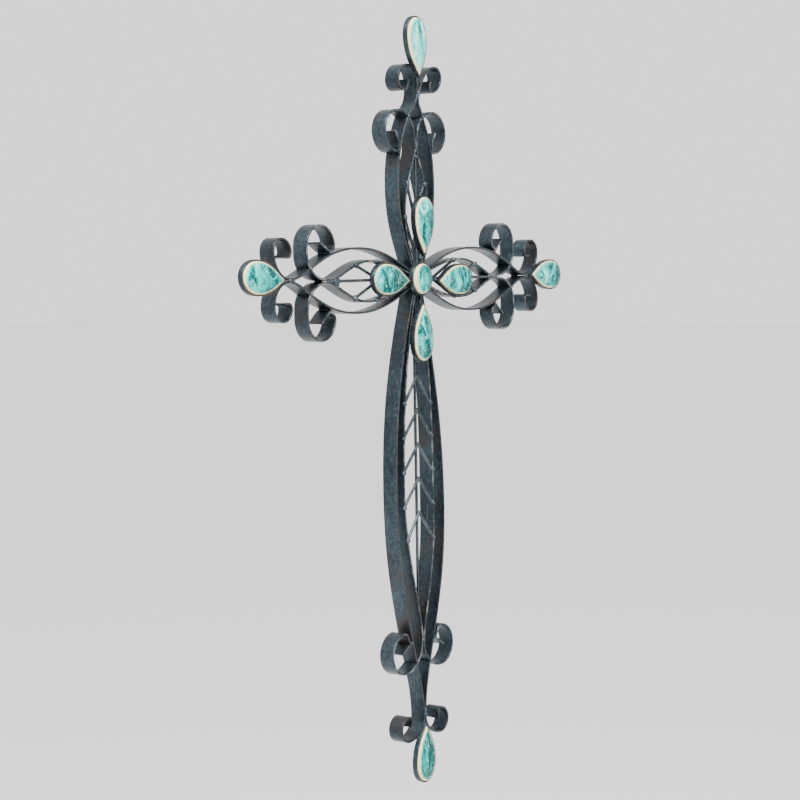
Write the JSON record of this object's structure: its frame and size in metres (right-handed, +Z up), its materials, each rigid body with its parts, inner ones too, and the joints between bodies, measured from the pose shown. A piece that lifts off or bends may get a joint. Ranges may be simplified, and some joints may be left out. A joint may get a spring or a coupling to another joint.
{
  "type": "wrought iron wall cross",
  "caption": "Wrought iron wall cross of scrolled flat bar on edge with rod veins and domed turquoise stones in cup settings.",
  "frame": {"origin": "axis of the nail that carries the cross, in the fork under the top arm's tip, on the wall's face", "axes": "+Y into the wall, +Z up the cross's long arm, so the front faces -Y"},
  "size_m": [0.4001, 0.0195, 0.5813],
  "materials": {
    "blackened_iron": "blackened and waxed, blue-grey sheen with brown patches",
    "turquoise_stone": "polished turquoise with cream edges and dark teal streaks"
  },
  "bodies": {
    "root": {"right_lower_outer_bar": "blackened_iron", "right_lower_scroll_bar": "blackened_iron", "right_lower_tip_bar": "blackened_iron", "right_upper_outer_bar": "blackened_iron", "right_upper_scroll_bar": "blackened_iron", "right_upper_tip_bar": "blackened_iron", "right_spine": "blackened_iron", "right_vein_1": "blackened_iron", "right_vein_2": "blackened_iron", "right_inner_setting": "blackened_iron", "right_outer_setting": "blackened_iron", "left_upper_outer_bar": "blackened_iron", "left_upper_scroll_bar": "blackened_iron", "left_upper_tip_bar": "blackened_iron", "left_lower_outer_bar": "blackened_iron", "left_lower_scroll_bar": "blackened_iron", "left_lower_tip_bar": "blackened_iron", "left_spine": "blackened_iron", "left_vein_1": "blackened_iron", "left_vein_2": "blackened_iron", "left_inner_setting": "blackened_iron", "left_outer_setting": "blackened_iron", "top_right_outer_bar": "blackened_iron", "top_right_scroll_bar": "blackened_iron", "top_right_tip_bar": "blackened_iron", "top_left_outer_bar": "blackened_iron", "top_left_scroll_bar": "blackened_iron", "top_left_tip_bar": "blackened_iron", "top_spine": "blackened_iron", "top_vein_1": "blackened_iron", "top_vein_2": "blackened_iron", "top_inner_setting": "blackened_iron", "top_outer_setting": "blackened_iron", "bottom_left_outer_bar": "blackened_iron", "bottom_left_scroll_bar": "blackened_iron", "bottom_left_tip_bar": "blackened_iron", "bottom_right_outer_bar": "blackened_iron", "bottom_right_scroll_bar": "blackened_iron", "bottom_right_tip_bar": "blackened_iron", "bottom_spine": "blackened_iron", "bottom_vein_1": "blackened_iron", "bottom_vein_2": "blackened_iron", "bottom_vein_3": "blackened_iron", "bottom_vein_4": "blackened_iron", "bottom_vein_5": "blackened_iron", "bottom_inner_setting": "blackened_iron", "bottom_outer_setting": "blackened_iron", "centre_setting": "blackened_iron", "right_inner_stone": "turquoise_stone", "right_outer_stone": "turquoise_stone", "left_inner_stone": "turquoise_stone", "left_outer_stone": "turquoise_stone", "top_inner_stone": "turquoise_stone", "top_outer_stone": "turquoise_stone", "bottom_inner_stone": "turquoise_stone", "bottom_outer_stone": "turquoise_stone", "centre_stone": "turquoise_stone"}
  },
  "joints": []
}
